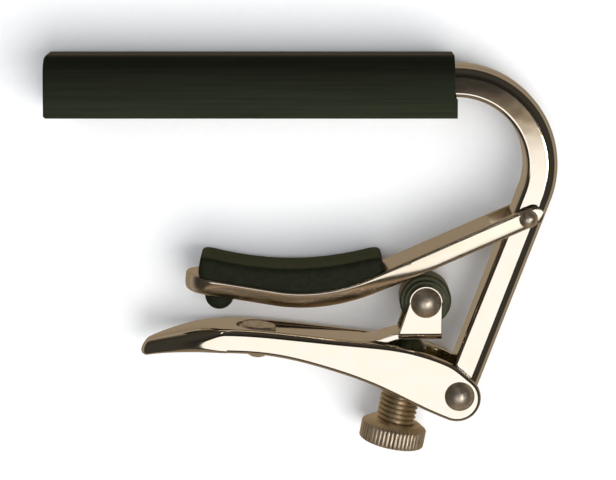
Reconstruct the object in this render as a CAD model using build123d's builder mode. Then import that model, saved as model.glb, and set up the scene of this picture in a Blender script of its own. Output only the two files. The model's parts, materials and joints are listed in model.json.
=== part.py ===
from build123d import *
from math import atan2, cos, degrees, radians, sin, tan
import os

# A lever-action guitar capo, in millimetres, lying on its side as it rests on a table.
# +X runs along the sleeve towards the bend, +Y from the screw to the sleeve, +Z up.
# Everything that swings does so about an axis along Z, and the mechanism is symmetric about
# the plane Z = MID.

# ---- Driving dimensions ----
MID = 6.3                       # height of the plane of symmetry, half of the sleeve's width
FIT = 0.05                      # radial clearance of a pin in its hole
SIDE_GAP = 0.15                 # clearance beside a part that swings in a fork
BEYOND = 50.0                   # carries a cut or a blank well past any piece

LEVER_PIVOT = (23.65, -20.9)
ARM_PIVOT = (33.5, 6.25)
ROLLER_AXIS = (18.5, -6.7)

BAR_THICKNESS = 4.8             # in the plane of the bend
BAR_WIDTH = 6.7                 # along Z
BAR_OUTER_ROUND = 1.8
BAR_INNER_ROUND = 0.7
BAR_AXIS_Y = 26.55              # centreline of the straight part inside the sleeve
BAR_TIP_X = -37.3
BEND_RADIUS = 12.8
BEND_CENTRE = (22.8, BAR_AXIS_Y - BEND_RADIUS)

SLEEVE_LEFT_X = -38.0
SLEEVE_RIGHT_X = 22.3
SLEEVE_LIP = 0.4                # how far the string pad runs on past the sleeve's right end
STRING_FACE_Y = 21.4
SLEEVE_TOP_Y = 30.4
SLEEVE_CROWN_WIDTH = 10.4       # across the back, before its shoulders are rounded
SLEEVE_SHOULDER = 3.0
SLEEVE_END_CHAMFER = 0.3
STRING_FACE_ROUND = 0.35

ARM_THICKNESS = 2.8
ARM_WIDTH = 9.6
ARM_TIP = (-17.8, -3.65)
ARM_CORNER = (3.3, -7.2)        # where the two straight runs of the arm would meet
ARM_BEND_RADIUS = 26.0
ARM_RIVET_RADIUS = 0.95
ARM_HEAD_RADIUS = 1.38
ARM_HEAD_HEIGHT = 0.95
ARM_END_OVERHANG = 2.4          # past the pivot
ARM_TOP_ROUND = 0.4
ARM_UNDER_ROUND = 0.9
EAR_ROUND = 1.1
FORK_TOP_DEPTH = 4.6            # of the arm's fork, measured from the pivot
FORK_UNDER_DEPTH = 7.8

PAD_WIDTH = 9.8
PAD_LEFT_X = -15.6
PAD_END_LEAN = 0.5              # the pad's left end leans over towards the neck
PAD_RIGHT_X = 12.4
PAD_LEFT_Y = 0.45
PAD_RIGHT_Y = 0.75
PAD_HOLLOW_Y = -1.3             # lowest point of the hollow that holds the neck
PAD_ROUND = 0.9
STEM_X = -12.35
STEM_RADIUS = 1.3
BUTTON_RADIUS = 2.15
BUTTON_HEIGHT = 2.2
BUTTON_EDGE = 0.5               # height of the button's straight rim
STEM_SINK = 0.3                 # how far the stem is carried up into the pad

LEVER_WIDTH = 9.6
LEVER_RIVET_RADIUS = 1.5
LEVER_HEAD_RADIUS = 2.25
LEVER_HEAD_HEIGHT = MID - LEVER_WIDTH / 2
LEVER_SLOT_WIDTH = BAR_WIDTH + 2 * SIDE_GAP
LEVER_SLOT_LEFT_X = -10.1
LEVER_END_CENTRE = (23.3, -21.3)
LEVER_END_RADIUS = 3.6
LEVER_END_TOP_ANGLE = 50        # where the top of the lever runs onto its round end
LEVER_END_UNDER_ANGLE = 249
LEVER_TIP_X = -24.6
LEVER_TOP = (
    (-25.4, -14.3),
    (-20.1, -12.0),
    (-15.8, -10.95),
    (-9.7, -10.7),
    (-1.0, -11.45),
    (9.0, -12.65),
    (17.0, -14.05),
    (22.2, -15.95),
)
LEVER_UNDER = (
    (18.0, -22.9),
    (11.1, -19.5),
    (3.5, -16.75),
    (-4.9, -14.75),
    (-12.5, -14.3),
    (-19.0, -14.55),
    (-25.4, -15.9),
)
LEVER_TIP_TOP_RUN = (1, 0.7)    # direction of the top at the tip
LEVER_TIP_UNDER_RUN = (-1, -0.3)
LEVER_TAPER = ((-11.5, LEVER_WIDTH / 2), (-17.9, 3.9), (-23.5, 1.5))    # half-widths of the tab
FORK_LEFT_X = 20.8              # where the slot becomes a fork, open right through

STRAP_THICKNESS = 0.9
STRAP_WIDTH = 6.3
STRAP_RIVET = (-6.7, -11.9)     # centre of the strap's thickness at its rivet
STRAP_LOW = (10.4, -13.3)       # centre of the strap's thickness where it turns up
STRAP_TURN_RADIUS = 6.0
STRAP_PLAY = 0.15               # free height above and below the strap at its rivet
CLEVIS_WIDTH = 7.6
CLEVIS_LEFT_X = 14.5
CLEVIS_RIGHT_X = 20.95
CLEVIS_PLATE_Y = -12.4          # underside of the clevis plate
CLEVIS_CORNER = 1.2
EAR_TOP_RADIUS = 2.45
SLOT_FLOOR = ((-9.6, -12.35), (-3.6, -12.85), (7.0, -15.0), (FORK_LEFT_X, -17.2))
STRAP_RIVET_RADIUS = 1.1
STRAP_HEAD_RADIUS = 2.6
STRAP_HEAD_HEIGHT = 0.45
STRAP_SEAT = -2.75              # seat of the rivet's dome, below the centre of the strap
STRAP_DOME_RADIUS = 2.15
STRAP_DOME_HEIGHT = 1.3

ROLLER_RADIUS = 3.9
ROLLER_WIDTH = 4.6
ROLLER_EDGE = 0.35
WASHER_RADIUS = 3.1
WASHER_THICKNESS = 0.5
AXLE_RADIUS = 1.25
AXLE_HEAD_RADIUS = 2.3
AXLE_HEAD_HEIGHT = 1.25

SCREW_FOOT = (13.5, -29.3)      # centre of the head's outer face
SCREW_LEAN = 11.0               # degrees from +Y towards +X
HEAD_RADIUS = 5.0
HEAD_HEIGHT = 2.7
HEAD_CHAMFER = 0.35
HEAD_CONE_HEIGHT = 0.7
HEAD_CONE_RADIUS = 4.0
SCREW_RADIUS = 3.0
SCREW_LENGTH = 13.8             # from the head's outer face to the end of the thread
KNURL_COUNT = 34
KNURL_DEPTH = 0.22
TIP_RADIUS = 2.3
TIP_EDGE = 1.6                  # height of the tip's straight side, below its dome
TIP_LENGTH = 3.2
TIP_STEM_RADIUS = 1.1
TIP_STEM_LENGTH = 2.0

side = Plane.XY.offset(MID)     # sketches of side profiles are drawn in the plane of symmetry


def crown_radius(rim, rise):
    """Radius of the sphere whose cap has the given rim radius and rise."""
    return (rim ** 2 + rise ** 2) / (2 * rise)


def domed_rivet(centre, shank_radius, grip, head_radius, head_height):
    """A rivet along Z through the plane of symmetry, with the same dome at both ends."""
    crown = crown_radius(head_radius, head_height)
    with BuildPart() as rivet:
        with Locations((*centre, MID)):
            Cylinder(shank_radius, grip)
        for outward in (1, -1):
            seat = (*centre, MID + outward * grip / 2)
            with BuildSketch(Plane(seat, x_dir=(1, 0, 0), z_dir=(0, -outward, 0))):
                with BuildLine():
                    Line((0, 0), (head_radius, 0))
                    RadiusArc((head_radius, 0), (0, head_height), -crown)
                    Line((0, head_height), (0, 0))
                make_face()
            revolve(axis=Axis(seat, (0, 0, 1)))
    return rivet


def bar_section(x, y):
    """Section of the frame bar, its inner side with the smaller rounding, facing along +X."""
    with BuildSketch(Plane((x, y, MID), x_dir=(0, 0, 1), z_dir=(1, 0, 0))) as section:
        Rectangle(BAR_WIDTH, BAR_THICKNESS)
        fillet(section.vertices().group_by(Axis.Y)[0], BAR_OUTER_ROUND)
        fillet(section.vertices().group_by(Axis.Y)[-1], BAR_INNER_ROUND)
    return section.sketch


# ---- Frame bar: one bent bar, from its tip in the sleeve to the lever's pivot ----
strut_angle = atan2(ARM_PIVOT[1] - LEVER_PIVOT[1], ARM_PIVOT[0] - LEVER_PIVOT[0])
strut_up = (cos(strut_angle), sin(strut_angle))
strut_start = (
    BEND_CENTRE[0] + BEND_RADIUS * sin(strut_angle),
    BEND_CENTRE[1] - BEND_RADIUS * cos(strut_angle),
)
strut_length = sum(u * (s - p) for u, s, p in zip(strut_up, strut_start, LEVER_PIVOT))
strut_foot = tuple(s - u * strut_length for s, u in zip(strut_start, strut_up))

with BuildPart() as frame_bar:
    with BuildLine(side) as bar_axis:
        Line((BAR_TIP_X, BAR_AXIS_Y), (BEND_CENTRE[0], BAR_AXIS_Y))
        CenterArc(BEND_CENTRE, BEND_RADIUS, 90, degrees(strut_angle) - 180)
        Line(strut_start, strut_foot)
    sweep(bar_section(BAR_TIP_X, BAR_AXIS_Y))
    with Locations((*strut_foot, MID)):
        Cylinder(BAR_THICKNESS / 2, BAR_WIDTH - 2 * BAR_INNER_ROUND)
    with Locations((*ARM_PIVOT, MID)):
        Cylinder(ARM_RIVET_RADIUS + FIT, BAR_WIDTH, mode=Mode.SUBTRACT)
    with Locations((*LEVER_PIVOT, MID)):
        Cylinder(LEVER_RIVET_RADIUS + FIT, BAR_WIDTH, mode=Mode.SUBTRACT)
frame_bar.part.label = "frame_bar"

# ---- Sleeve: rubber, flat where it presses the strings, rounded on its back ----
def sleeve_profile(x, top_y):
    """Section of the sleeve facing along +X, cut off at top_y when that is below its crown."""
    with BuildSketch(Plane((x, 0, MID), x_dir=(0, 0, 1), z_dir=(1, 0, 0))) as section:
        with BuildLine():
            Polyline(
                (-MID, -STRING_FACE_Y),
                (MID, -STRING_FACE_Y),
                (SLEEVE_CROWN_WIDTH / 2, -SLEEVE_TOP_Y),
                (-SLEEVE_CROWN_WIDTH / 2, -SLEEVE_TOP_Y),
                close=True,
            )
        make_face()
        fillet(section.vertices().group_by(Axis.Y)[0], SLEEVE_SHOULDER)
        fillet(section.vertices().group_by(Axis.Y)[-1], STRING_FACE_ROUND)
        with Locations((0, -top_y)):
            Rectangle(4 * MID, SLEEVE_TOP_Y, align=(Align.CENTER, Align.MAX), mode=Mode.SUBTRACT)
    return section.sketch


with BuildPart() as bar_sleeve:
    extrude(sleeve_profile(SLEEVE_LEFT_X, SLEEVE_TOP_Y), amount=SLEEVE_RIGHT_X - SLEEVE_LEFT_X)
    chamfer(bar_sleeve.faces().sort_by(Axis.X)[0].edges(), SLEEVE_END_CHAMFER)
    extrude(sleeve_profile(SLEEVE_RIGHT_X, BAR_AXIS_Y - BAR_THICKNESS / 2), amount=SLEEVE_LIP)
    extrude(
        bar_section(SLEEVE_LEFT_X, BAR_AXIS_Y),
        amount=SLEEVE_RIGHT_X + SLEEVE_LIP - SLEEVE_LEFT_X,
        mode=Mode.SUBTRACT,
    )
bar_sleeve.part.label = "bar_sleeve"

# ---- Swing arm: a bent strap with a round nose and a fork that straddles the bar ----
arm_run = Vector(ARM_PIVOT) - Vector(ARM_CORNER)
arm_angle = atan2(arm_run.Y, arm_run.X)
arm_along = (cos(arm_angle), sin(arm_angle))
arm_across = (-sin(arm_angle), cos(arm_angle))


def arm_point(along, across):
    """Point at a distance from the arm's pivot, along its straight run and across it."""
    return tuple(
        pivot + along * a + across * b for pivot, a, b in zip(ARM_PIVOT, arm_along, arm_across)
    )


arm_end = arm_point(ARM_END_OVERHANG, 0)
arm_half = ARM_THICKNESS / 2

with BuildPart() as swing_arm:
    with BuildLine(side) as arm_axis:
        FilletPolyline(ARM_TIP, ARM_CORNER, arm_end, radius=ARM_BEND_RADIUS)
    tip_direction = arm_axis.line % 0
    tip_slope = tip_direction.Y / tip_direction.X
    tip_plane = Plane(arm_axis.line @ 0, x_dir=(0, 0, 1), z_dir=tip_direction)
    with BuildSketch(tip_plane) as arm_section:
        Rectangle(ARM_WIDTH, ARM_THICKNESS)
        fillet(arm_section.vertices().group_by(Axis.Y)[0], ARM_TOP_ROUND)
        fillet(arm_section.vertices().group_by(Axis.Y)[-1], ARM_UNDER_ROUND)
    sweep()
    with BuildSketch(Plane.XZ.offset(BEYOND)) as nose_plan:
        with Locations((ARM_TIP[0] + ARM_WIDTH / 2, MID)):
            Rectangle(ARM_WIDTH, 2 * ARM_WIDTH, align=(Align.MAX, Align.CENTER))
            Circle(ARM_WIDTH / 2, mode=Mode.SUBTRACT)
    extrude(amount=-2 * BEYOND, mode=Mode.SUBTRACT)
    with BuildSketch(side) as fork_side:
        with BuildLine():
            Polyline(
                arm_point(-FORK_UNDER_DEPTH, -ARM_THICKNESS),
                arm_point(ARM_THICKNESS * 2, -ARM_THICKNESS),
                arm_point(ARM_THICKNESS * 2, ARM_THICKNESS),
                arm_point(-FORK_TOP_DEPTH, ARM_THICKNESS),
                close=True,
            )
        make_face()
    extrude(amount=BAR_WIDTH / 2 + SIDE_GAP, both=True, mode=Mode.SUBTRACT)
    ear_corners = swing_arm.edges().filter_by(Axis.Z).group_by(Axis.X)[-2:]
    fillet(ShapeList(edge for group in ear_corners for edge in group), EAR_ROUND)
    with Locations((*ARM_PIVOT, MID)):
        Cylinder(ARM_RIVET_RADIUS, ARM_WIDTH, mode=Mode.SUBTRACT)
    stem_y = ARM_TIP[1] + (STEM_X - ARM_TIP[0]) * tip_slope
    stem_plane = Plane((STEM_X, stem_y, MID), x_dir=(0, 0, 1), z_dir=(-tip_slope, 1, 0))
    with Locations(stem_plane.location):
        Cylinder(STEM_RADIUS, 3 * ARM_THICKNESS, mode=Mode.SUBTRACT)
swing_arm.part.label = "swing_arm"

arm_pivot_rivet = domed_rivet(
    ARM_PIVOT, ARM_RIVET_RADIUS, ARM_WIDTH, ARM_HEAD_RADIUS, ARM_HEAD_HEIGHT
)
arm_pivot_rivet.part.label = "arm_pivot_rivet"

# ---- Neck pad: one rubber moulding, hollowed for the neck, buttoned through the arm ----
with BuildPart() as neck_pad:
    with BuildSketch(side) as pad_side:
        with BuildLine():
            hollow = ThreePointArc(
                (PAD_LEFT_X + PAD_END_LEAN, PAD_LEFT_Y),
                ((PAD_LEFT_X + PAD_RIGHT_X) / 2, PAD_HOLLOW_Y),
                (PAD_RIGHT_X, PAD_RIGHT_Y),
            )
            Polyline(
                hollow @ 1,
                (PAD_RIGHT_X, ARM_PIVOT[1] + (PAD_RIGHT_X - ARM_PIVOT[0]) * tan(arm_angle)),
                ARM_CORNER,
                (PAD_LEFT_X, ARM_TIP[1] + (PAD_LEFT_X - ARM_TIP[0]) * tip_slope),
                hollow @ 0,
            )
        make_face()
        trace(arm_axis.line, ARM_THICKNESS, mode=Mode.SUBTRACT)
    extrude(amount=PAD_WIDTH / 2, both=True)
    hollows = neck_pad.faces().filter_by(GeomType.CYLINDER).sort_by(SortBy.AREA)[-2:]
    fillet(hollows.sort_by(Axis.Y)[-1].edges(), PAD_ROUND)
    button_plane = Plane((STEM_X, stem_y, MID), x_dir=(1, tip_slope, 0), z_dir=(0, 0, 1))
    with BuildSketch(button_plane) as button_half:
        with BuildLine():
            Polyline(
                (0, arm_half + STEM_SINK),
                (STEM_RADIUS, arm_half + STEM_SINK),
                (STEM_RADIUS, -arm_half),
                (BUTTON_RADIUS, -arm_half),
                (BUTTON_RADIUS, -arm_half - BUTTON_EDGE),
            )
            RadiusArc(
                (BUTTON_RADIUS, -arm_half - BUTTON_EDGE),
                (0, -arm_half - BUTTON_HEIGHT),
                crown_radius(BUTTON_RADIUS, BUTTON_HEIGHT - BUTTON_EDGE),
            )
            Line((0, -arm_half - BUTTON_HEIGHT), (0, arm_half + STEM_SINK))
        make_face()
    revolve(axis=Axis(stem_plane.origin, stem_plane.z_dir))
neck_pad.part.label = "neck_pad"

# ---- Lever: one solid casting, tapered to a finger tab, slotted on top, forked at its pivot ----
def on_lever_end(angle):
    """Point on the lever's round end at an angle in degrees from +X."""
    return (
        LEVER_END_CENTRE[0] + LEVER_END_RADIUS * cos(radians(angle)),
        LEVER_END_CENTRE[1] + LEVER_END_RADIUS * sin(radians(angle)),
    )


lever_end_top_run = (
    sin(radians(LEVER_END_TOP_ANGLE)),
    -cos(radians(LEVER_END_TOP_ANGLE)),
)
lever_end_under_run = (
    sin(radians(LEVER_END_UNDER_ANGLE)),
    -cos(radians(LEVER_END_UNDER_ANGLE)),
)
strap_slope = (STRAP_LOW[1] - STRAP_RIVET[1]) / (STRAP_LOW[0] - STRAP_RIVET[0])
strap_plane = Plane((*STRAP_RIVET, MID), x_dir=(0, 0, 1), z_dir=(-strap_slope, 1, 0))
strap_side = Plane((*STRAP_RIVET, MID), x_dir=(1, strap_slope, 0))
screw_direction = (sin(radians(SCREW_LEAN)), cos(radians(SCREW_LEAN)), 0)
screw_plane = Plane((*SCREW_FOOT, MID), x_dir=(0, 0, 1), z_dir=screw_direction)

with BuildPart() as lever:
    with BuildSketch(Plane.XY.offset(MID - LEVER_WIDTH / 2)) as lever_side:
        with BuildLine():
            top = Spline(
                *LEVER_TOP,
                on_lever_end(LEVER_END_TOP_ANGLE),
                tangents=[LEVER_TIP_TOP_RUN, lever_end_top_run],
            )
            under = Spline(
                on_lever_end(LEVER_END_UNDER_ANGLE),
                *LEVER_UNDER,
                tangents=[lever_end_under_run, LEVER_TIP_UNDER_RUN],
            )
            CenterArc(
                LEVER_END_CENTRE,
                LEVER_END_RADIUS,
                LEVER_END_TOP_ANGLE,
                LEVER_END_UNDER_ANGLE - 360 - LEVER_END_TOP_ANGLE,
            )
            Line(under @ 1, top @ 0)
        make_face()
    extrude(amount=LEVER_WIDTH)
    with BuildSketch(Plane.XZ) as lever_plan:
        with BuildLine():
            near_taper = ThreePointArc(*((x, MID + half) for x, half in LEVER_TAPER))
            far_taper = ThreePointArc(*((x, MID - half) for x, half in LEVER_TAPER))
            ThreePointArc(near_taper @ 1, (LEVER_TIP_X, MID), far_taper @ 1)
            Polyline(
                near_taper @ 0,
                (BEYOND, MID + LEVER_WIDTH / 2),
                (BEYOND, MID - LEVER_WIDTH / 2),
                far_taper @ 0,
            )
        make_face()
    extrude(amount=BEYOND, both=True, mode=Mode.INTERSECT)
    # the slot follows the strap down to the screw's boss
    with BuildSketch(side) as slot_side:
        with BuildLine():
            Polyline(
                (LEVER_SLOT_LEFT_X - LEVER_SLOT_WIDTH, SLOT_FLOOR[0][1]),
                *SLOT_FLOOR,
                (FORK_LEFT_X, 0),
                (LEVER_SLOT_LEFT_X - LEVER_SLOT_WIDTH, 0),
                close=True,
            )
        make_face()
    slot_plan_x = LEVER_SLOT_LEFT_X + LEVER_SLOT_WIDTH / 2
    with BuildSketch(Plane.XZ, mode=Mode.PRIVATE) as slot_plan:
        with Locations((slot_plan_x, MID)):
            Circle(LEVER_SLOT_WIDTH / 2)
            Rectangle(BEYOND, LEVER_SLOT_WIDTH, align=(Align.MIN, Align.CENTER))
    slot_tool = extrude(slot_side.sketch, amount=LEVER_SLOT_WIDTH, both=True, mode=Mode.PRIVATE)
    slot_column = extrude(slot_plan.sketch, amount=BEYOND, both=True, mode=Mode.PRIVATE)
    add(slot_tool & slot_column, mode=Mode.SUBTRACT)
    with Locations((FORK_LEFT_X, LEVER_PIVOT[1], MID)):
        Box(
            BEYOND,
            BEYOND,
            LEVER_SLOT_WIDTH,
            align=(Align.MIN, Align.CENTER, Align.CENTER),
            mode=Mode.SUBTRACT,
        )
    with Locations((*LEVER_PIVOT, MID)):
        Cylinder(LEVER_RIVET_RADIUS, LEVER_WIDTH, mode=Mode.SUBTRACT)
    with Locations(screw_plane.location):
        Cylinder(
            SCREW_RADIUS + FIT,
            2 * SCREW_LENGTH,
            align=(Align.CENTER, Align.CENTER, Align.MIN),
            mode=Mode.SUBTRACT,
        )
    with Locations(strap_plane.location):
        Cylinder(STRAP_RIVET_RADIUS, LEVER_WIDTH, mode=Mode.SUBTRACT)
    with Locations(strap_plane.offset(STRAP_SEAT).location):
        Cylinder(
            STRAP_DOME_RADIUS,
            LEVER_WIDTH,
            align=(Align.CENTER, Align.CENTER, Align.MAX),
            mode=Mode.SUBTRACT,
        )
lever.part.label = "lever"

lever_pivot_rivet = domed_rivet(
    LEVER_PIVOT, LEVER_RIVET_RADIUS, LEVER_WIDTH, LEVER_HEAD_RADIUS, LEVER_HEAD_HEIGHT
)
lever_pivot_rivet.part.label = "lever_pivot_rivet"

# ---- Roller strap: one leaf, riveted in the lever's slot, its end folded up into a clevis ----
half_leaf = STRAP_THICKNESS / 2
plate_centre_y = CLEVIS_PLATE_Y + half_leaf
with BuildPart() as roller_strap:
    with BuildSketch(side) as leaf_side:
        with BuildLine() as leaf_line:
            FilletPolyline(
                (STRAP_RIVET[0] - STRAP_WIDTH, STRAP_RIVET[1] - STRAP_WIDTH * strap_slope),
                STRAP_LOW,
                (CLEVIS_LEFT_X, plate_centre_y),
                (CLEVIS_RIGHT_X, plate_centre_y),
                radius=STRAP_TURN_RADIUS,
            )
        trace(line_width=STRAP_THICKNESS)
    extrude(amount=STRAP_WIDTH / 2, both=True)
    with BuildSketch(Plane.XZ) as leaf_plan:
        with Locations((STRAP_RIVET[0], MID)):
            Circle(STRAP_WIDTH / 2)
            Rectangle(BEYOND, STRAP_WIDTH, align=(Align.MIN, Align.CENTER))
    extrude(amount=BEYOND, both=True, mode=Mode.INTERSECT)
    fold_plane = Plane((0, CLEVIS_PLATE_Y, MID), x_dir=(0, 0, 1), z_dir=(1, 0, 0))
    with BuildSketch(fold_plane) as clevis_fold:
        Rectangle(CLEVIS_WIDTH, BEYOND, align=(Align.CENTER, Align.MAX))
        fillet(clevis_fold.vertices().group_by(Axis.Y)[-1], CLEVIS_CORNER)
    fold = extrude(clevis_fold.sketch, amount=BEYOND, mode=Mode.PRIVATE)
    inside_plane = Plane(
        (0, CLEVIS_PLATE_Y + STRAP_THICKNESS, MID), x_dir=(0, 0, 1), z_dir=(1, 0, 0)
    )
    with BuildSketch(inside_plane) as clevis_inside:
        Rectangle(
            CLEVIS_WIDTH - 2 * STRAP_THICKNESS,
            BEYOND,
            align=(Align.CENTER, Align.MAX),
        )
        fillet(clevis_inside.vertices().group_by(Axis.Y)[-1], CLEVIS_CORNER - STRAP_THICKNESS)
    inside = extrude(clevis_inside.sketch, amount=BEYOND, mode=Mode.PRIVATE)
    with BuildSketch(side) as ear_side:
        with BuildLine():
            Polyline(
                (CLEVIS_LEFT_X, CLEVIS_PLATE_Y),
                (CLEVIS_RIGHT_X, CLEVIS_PLATE_Y),
                (CLEVIS_RIGHT_X, ROLLER_AXIS[1]),
                (ROLLER_AXIS[0] - EAR_TOP_RADIUS, ROLLER_AXIS[1]),
                (CLEVIS_LEFT_X, CLEVIS_PLATE_Y + STRAP_THICKNESS),
                close=True,
            )
        make_face()
        with Locations(ROLLER_AXIS):
            Circle(EAR_TOP_RADIUS)
    ears = extrude(ear_side.sketch, amount=CLEVIS_WIDTH, both=True, mode=Mode.PRIVATE)
    add((fold - inside) & ears)
    with Locations((*ROLLER_AXIS, MID)):
        Cylinder(AXLE_RADIUS, CLEVIS_WIDTH, mode=Mode.SUBTRACT)
    with Locations(strap_plane.location):
        Cylinder(STRAP_RIVET_RADIUS + STRAP_PLAY, LEVER_WIDTH, mode=Mode.SUBTRACT)
roller_strap.part.label = "roller_strap"

with BuildPart() as strap_rivet:
    with BuildSketch(strap_side) as strap_rivet_half:
        with BuildLine():
            head_under = half_leaf + STRAP_PLAY
            Polyline(
                (0, head_under + STRAP_HEAD_HEIGHT),
                (STRAP_HEAD_RADIUS - STRAP_PLAY, head_under + STRAP_HEAD_HEIGHT),
                (STRAP_HEAD_RADIUS, head_under),
                (STRAP_RIVET_RADIUS, head_under),
                (STRAP_RIVET_RADIUS, STRAP_SEAT),
                (STRAP_DOME_RADIUS, STRAP_SEAT),
            )
            RadiusArc(
                (STRAP_DOME_RADIUS, STRAP_SEAT),
                (0, STRAP_SEAT - STRAP_DOME_HEIGHT),
                crown_radius(STRAP_DOME_RADIUS, STRAP_DOME_HEIGHT),
            )
            Line((0, STRAP_SEAT - STRAP_DOME_HEIGHT), (0, head_under + STRAP_HEAD_HEIGHT))
        make_face()
    revolve(axis=Axis((*STRAP_RIVET, MID), strap_plane.z_dir))
strap_rivet.part.label = "strap_rivet"

# ---- Roller, its two washers and its riveted axle ----
with BuildPart() as roller:
    with Locations((*ROLLER_AXIS, MID)):
        Cylinder(ROLLER_RADIUS, ROLLER_WIDTH)
    fillet(roller.edges().filter_by(GeomType.CIRCLE), ROLLER_EDGE)
    with Locations((*ROLLER_AXIS, MID)):
        Cylinder(AXLE_RADIUS + FIT, ROLLER_WIDTH, mode=Mode.SUBTRACT)
roller.part.label = "roller"

washer_z = CLEVIS_WIDTH / 2 - STRAP_THICKNESS - WASHER_THICKNESS / 2
with BuildPart() as roller_washers:
    with Locations((*ROLLER_AXIS, MID + washer_z), (*ROLLER_AXIS, MID - washer_z)):
        Cylinder(WASHER_RADIUS, WASHER_THICKNESS)
        Cylinder(AXLE_RADIUS, WASHER_THICKNESS, mode=Mode.SUBTRACT)
roller_washers.part.label = "roller_washers"

roller_axle = domed_rivet(ROLLER_AXIS, AXLE_RADIUS, CLEVIS_WIDTH, AXLE_HEAD_RADIUS, AXLE_HEAD_HEIGHT)
roller_axle.part.label = "roller_axle"

# ---- Adjusting screw, with its knurled head, and the domed tip that bears on the clevis ----
screw_axis = Axis((*SCREW_FOOT, MID), screw_direction)
screw_across = (cos(radians(SCREW_LEAN)), -sin(radians(SCREW_LEAN)), 0)
screw_half = Plane((*SCREW_FOOT, MID), x_dir=screw_across)
with BuildPart() as adjusting_screw:
    with BuildSketch(screw_half) as screw_profile:
        with BuildLine():
            Polyline(
                (0, 0),
                (HEAD_RADIUS - HEAD_CHAMFER, 0),
                (HEAD_RADIUS, HEAD_CHAMFER),
                (HEAD_RADIUS, HEAD_HEIGHT),
                (HEAD_CONE_RADIUS, HEAD_HEIGHT + HEAD_CONE_HEIGHT),
                (SCREW_RADIUS, HEAD_HEIGHT + HEAD_CONE_HEIGHT),
                (SCREW_RADIUS, SCREW_LENGTH),
                (0, SCREW_LENGTH),
                close=True,
            )
        make_face()
    revolve(axis=screw_axis)
    with BuildSketch(screw_plane) as knurl:
        with PolarLocations(HEAD_RADIUS, KNURL_COUNT):
            Rectangle(KNURL_DEPTH * 2, KNURL_DEPTH * 2, rotation=45)
    extrude(amount=HEAD_HEIGHT + HEAD_CONE_HEIGHT, mode=Mode.SUBTRACT)
    with Locations(screw_plane.offset(SCREW_LENGTH).location):
        Cylinder(
            TIP_STEM_RADIUS + FIT,
            TIP_STEM_LENGTH + STRAP_PLAY,
            align=(Align.CENTER, Align.CENTER, Align.MAX),
            mode=Mode.SUBTRACT,
        )
adjusting_screw.part.label = "adjusting_screw"

with BuildPart() as screw_tip:
    with BuildSketch(screw_half) as tip_profile:
        with BuildLine():
            Polyline(
                (0, SCREW_LENGTH - TIP_STEM_LENGTH),
                (TIP_STEM_RADIUS, SCREW_LENGTH - TIP_STEM_LENGTH),
                (TIP_STEM_RADIUS, SCREW_LENGTH),
                (TIP_RADIUS, SCREW_LENGTH),
                (TIP_RADIUS, SCREW_LENGTH + TIP_EDGE),
            )
            RadiusArc(
                (TIP_RADIUS, SCREW_LENGTH + TIP_EDGE),
                (0, SCREW_LENGTH + TIP_LENGTH),
                -crown_radius(TIP_RADIUS, TIP_LENGTH - TIP_EDGE),
            )
            Line((0, SCREW_LENGTH + TIP_LENGTH), (0, SCREW_LENGTH - TIP_STEM_LENGTH))
        make_face()
    revolve(axis=screw_axis)
screw_tip.part.label = "screw_tip"

pieces = (
    frame_bar,
    bar_sleeve,
    swing_arm,
    arm_pivot_rivet,
    neck_pad,
    lever,
    lever_pivot_rivet,
    roller_strap,
    strap_rivet,
    roller,
    roller_washers,
    roller_axle,
    adjusting_screw,
    screw_tip,
)
os.makedirs("parts", exist_ok=True)
for piece in pieces:
    export_step(piece.part, f"parts/{piece.part.label}.step")
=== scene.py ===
"""Looks of the guitar capo: pieces rebuilt with their real edges, materials, light and camera."""
import json
from math import acos, atan2, cos, hypot, pi, radians, sin, tan

import bmesh
import bpy
import numpy as np
from mathutils import Matrix, Vector
from mathutils.bvhtree import BVHTree


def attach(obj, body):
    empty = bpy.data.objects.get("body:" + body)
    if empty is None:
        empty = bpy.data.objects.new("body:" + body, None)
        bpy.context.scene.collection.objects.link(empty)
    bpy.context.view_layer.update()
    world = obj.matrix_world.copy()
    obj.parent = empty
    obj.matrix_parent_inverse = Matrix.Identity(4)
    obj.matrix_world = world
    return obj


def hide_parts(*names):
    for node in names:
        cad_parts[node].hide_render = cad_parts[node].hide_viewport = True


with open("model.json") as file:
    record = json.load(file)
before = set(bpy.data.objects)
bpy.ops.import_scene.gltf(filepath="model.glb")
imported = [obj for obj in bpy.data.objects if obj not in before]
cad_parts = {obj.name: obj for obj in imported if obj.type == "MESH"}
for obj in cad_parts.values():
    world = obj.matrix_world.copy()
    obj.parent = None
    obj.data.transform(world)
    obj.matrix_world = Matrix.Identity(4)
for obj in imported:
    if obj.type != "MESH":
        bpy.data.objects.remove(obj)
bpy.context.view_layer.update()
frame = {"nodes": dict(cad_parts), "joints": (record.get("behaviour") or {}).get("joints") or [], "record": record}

MM = 0.001
BODIES = frame["record"]["behaviour"]["bodies"]
BODY_OF = {name: body for body, names in BODIES.items() for name in names}
JOINTS = {joint["name"]: joint for joint in frame["joints"]}
LEVER_PIVOT = Vector(JOINTS["lever_swing"]["pos_m"])
ARM_PIVOT = Vector(JOINTS["arm_swing"]["pos_m"])
ROLLER_AXIS = Vector(JOINTS["roller_spin"]["pos_m"])
SCREW_FOOT = Vector(JOINTS["screw_turn"]["pos_m"])
SCREW_AXIS = Vector(JOINTS["screw_turn"]["axis"]).normalized()
MID = JOINTS["lever_swing"]["pos_m"][2]     # height of the plane of symmetry
SLOT_HALF_WIDTH = 3.5 * MM                  # half of the lever's slot, and of the arm's fork

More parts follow.
